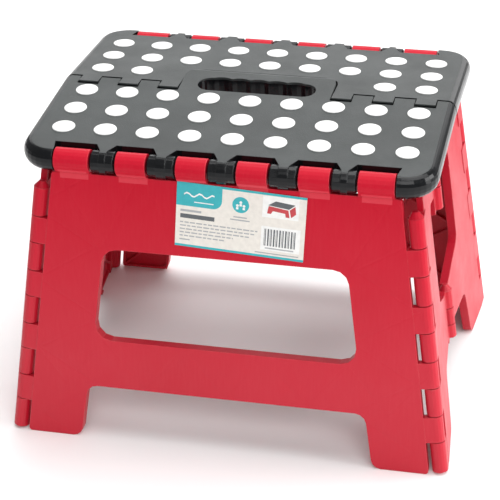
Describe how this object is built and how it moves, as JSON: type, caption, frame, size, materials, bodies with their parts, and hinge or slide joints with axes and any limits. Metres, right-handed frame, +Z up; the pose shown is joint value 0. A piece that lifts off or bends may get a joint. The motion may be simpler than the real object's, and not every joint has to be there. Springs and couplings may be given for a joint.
{
  "type": "folding step stool",
  "caption": "Folding plastic step stool with a two-part hinged deck, anti-slip dots, a finger slot, and leg and side panels that fold flat.",
  "frame": {"origin": "on the floor under the middle of the stool", "axes": "+X to the right along the ridge hinge, -Y to the front, which has the label, +Z up"},
  "size_m": [0.3084, 0.2436, 0.2213],
  "materials": {
    "red_plastic": "satin moulded plastic with a fine grain",
    "black_plastic": "finely textured top, smoother moulded edges",
    "grip": "soft matte white anti-slip dots",
    "label": "printed film label, slight sheen"
  },
  "bodies": {
    "front_leg": {"front_leg": "red_plastic", "label": "label"},
    "front_top": {"front_top": "black_plastic", "front_grip_dot_01": "grip", "front_grip_dot_02": "grip", "front_grip_dot_03": "grip", "front_grip_dot_04": "grip", "front_grip_dot_05": "grip", "front_grip_dot_06": "grip", "front_grip_dot_07": "grip", "front_grip_dot_08": "grip", "front_grip_dot_09": "grip", "front_grip_dot_10": "grip", "front_grip_dot_11": "grip", "front_grip_dot_12": "grip", "front_grip_dot_13": "grip", "front_grip_dot_14": "grip", "front_grip_dot_15": "grip", "front_grip_dot_16": "grip", "front_grip_dot_17": "grip", "front_grip_dot_18": "grip", "front_grip_dot_19": "grip", "front_grip_dot_20": "grip", "front_grip_dot_21": "grip", "front_grip_dot_22": "grip", "front_grip_dot_23": "grip", "front_grip_dot_24": "grip", "front_grip_dot_25": "grip", "front_grip_dot_26": "grip", "front_grip_dot_27": "grip"},
    "rear_top": {"rear_top": "black_plastic", "rear_grip_dot_01": "grip", "rear_grip_dot_02": "grip", "rear_grip_dot_03": "grip", "rear_grip_dot_04": "grip", "rear_grip_dot_05": "grip", "rear_grip_dot_06": "grip", "rear_grip_dot_07": "grip", "rear_grip_dot_08": "grip", "rear_grip_dot_09": "grip", "rear_grip_dot_10": "grip", "rear_grip_dot_11": "grip", "rear_grip_dot_12": "grip", "rear_grip_dot_13": "grip", "rear_grip_dot_14": "grip", "rear_grip_dot_15": "grip", "rear_grip_dot_16": "grip", "rear_grip_dot_17": "grip", "rear_grip_dot_18": "grip", "rear_grip_dot_19": "grip", "rear_grip_dot_20": "grip", "rear_grip_dot_21": "grip", "rear_grip_dot_22": "grip"},
    "rear_leg": {"rear_leg": "red_plastic"},
    "left_front_side": {"left_front_side": "red_plastic"},
    "left_rear_side": {"left_rear_side": "red_plastic"},
    "right_front_side": {"right_front_side": "red_plastic"},
    "right_rear_side": {"right_rear_side": "red_plastic"}
  },
  "joints": [
    {"name": "fold", "type": "hinge", "parent": "front_leg", "child": "front_top", "pos_m": [0, -0.10101, 0.206], "axis": [1, 0, 0], "range_deg": [-3.4, 74]},
    {"name": "ridge", "type": "hinge", "parent": "front_top", "child": "rear_top", "pos_m": [0, 0, 0.204], "axis": [1, 0, 0], "range_deg": [-156.4, 7.5]},
    {"name": "rear_fold", "type": "hinge", "parent": "rear_top", "child": "rear_leg", "pos_m": [0, 0.10101, 0.206], "axis": [1, 0, 0], "range_deg": [-3.7, 74.3]},
    {"name": "left_front_corner", "type": "hinge", "parent": "front_leg", "child": "left_front_side", "pos_m": [-0.149, -0.1162, 0], "axis": [-0.1279, -0.0997, -0.9868], "range_deg": [-3.9, 78.7]},
    {"name": "right_front_corner", "type": "hinge", "parent": "front_leg", "child": "right_front_side", "pos_m": [0.149, -0.1162, 0], "axis": [-0.1279, 0.0997, 0.9868], "range_deg": [-3.9, 78.7]},
    {"name": "left_rear_corner", "type": "hinge", "parent": "rear_leg", "child": "left_rear_side", "pos_m": [-0.149, 0.1162, 0], "axis": [0.1279, -0.0997, 0.9868], "range_deg": [-3.9, 78.7]},
    {"name": "right_rear_corner", "type": "hinge", "parent": "rear_leg", "child": "right_rear_side", "pos_m": [0.149, 0.1162, 0], "axis": [0.1279, 0.0997, -0.9868], "range_deg": [-3.9, 78.7]}
  ],
  "couplings": [
    {"joint": "ridge", "follows": "fold", "ratio": -2.11},
    {"joint": "rear_fold", "follows": "fold", "ratio": 1},
    {"joint": "left_front_corner", "follows": "fold", "ratio": 1.06},
    {"joint": "left_rear_corner", "follows": "fold", "ratio": 1.06},
    {"joint": "right_front_corner", "follows": "fold", "ratio": 1.06},
    {"joint": "right_rear_corner", "follows": "fold", "ratio": 1.06}
  ]
}
